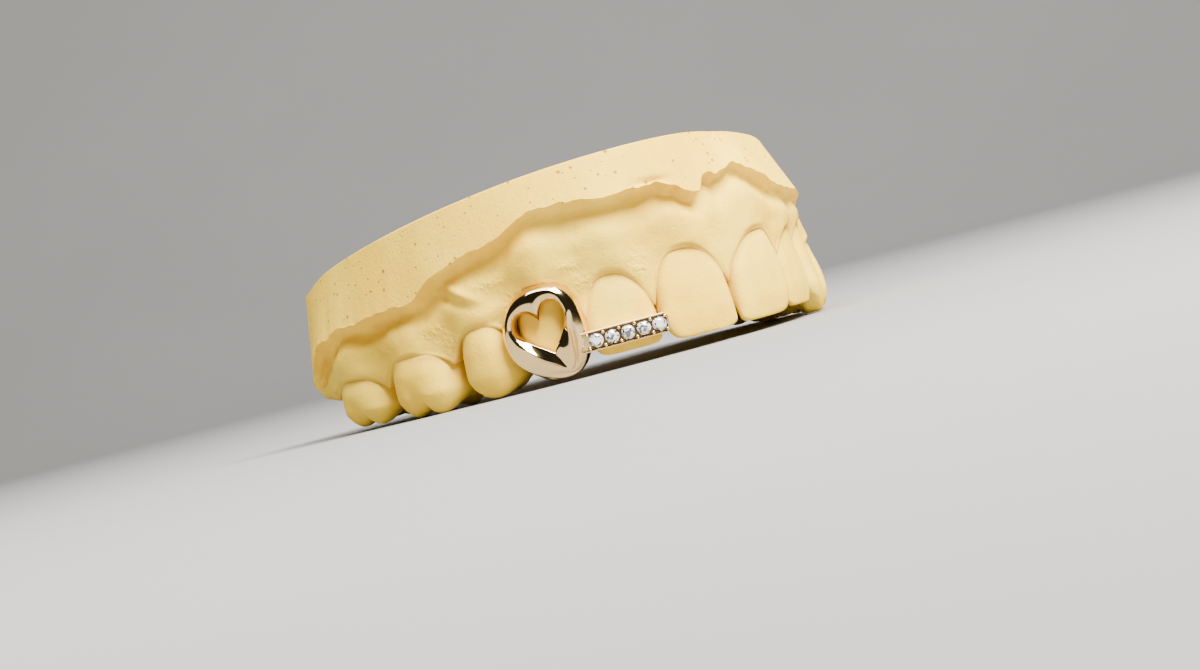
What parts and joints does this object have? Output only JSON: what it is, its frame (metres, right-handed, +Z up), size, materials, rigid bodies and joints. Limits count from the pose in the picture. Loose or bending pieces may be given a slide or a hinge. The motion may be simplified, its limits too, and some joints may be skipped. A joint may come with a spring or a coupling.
{
  "type": "grillz on a dental cast",
  "caption": "Gold tooth cap with a heart-shaped window and a stone-set bar, seated on the stone cast of an upper jaw.",
  "frame": {"origin": "middle of the underside, on the plane that the tooth tips rest on", "axes": "+X towards the wearer's left, -Y out of the front teeth, +Z up through the trimmed base, which is on top"},
  "size_m": [0.062, 0.0434, 0.0232],
  "materials": {
    "dental_stone": "matt cast stone",
    "gold": "mirror polished pale yellow gold",
    "diamond": "cut and polished"
  },
  "bodies": {
    "root": {"dental_cast": "dental_stone", "heart_cap_and_bar": "gold", "stone_1": "diamond", "stone_2": "diamond", "stone_3": "diamond", "stone_4": "diamond", "stone_5": "diamond"}
  },
  "joints": []
}
